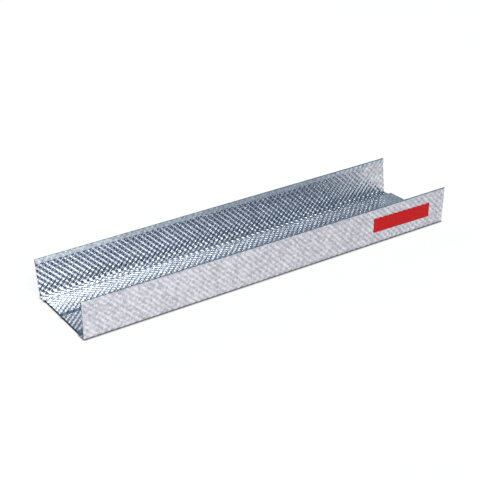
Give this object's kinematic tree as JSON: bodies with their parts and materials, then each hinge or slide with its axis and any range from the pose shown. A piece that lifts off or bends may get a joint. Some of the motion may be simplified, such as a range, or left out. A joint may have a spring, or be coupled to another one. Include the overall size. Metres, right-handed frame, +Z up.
{
  "type": "drywall track",
  "caption": "Open U-shaped steel channel with dimpled faces, hemmed flange edges and a raised, grooved web, fixed to a floor or ceiling to hold the ends of drywall studs.",
  "frame": {"origin": "on the floor, under the middle of the track's length and width", "axes": "+X along the track, +Y across the web from one flange to the other, +Z up, the way the flanges stand"},
  "size_m": [0.3, 0.0744, 0.029],
  "materials": {
    "galvanised_steel": "hot-dip zinc coating on cold-rolled sheet, embossed all over with small dimples",
    "label_film": "thin red vinyl film, blank"
  },
  "bodies": {
    "root": {"track": "galvanised_steel"}
  },
  "joints": []
}
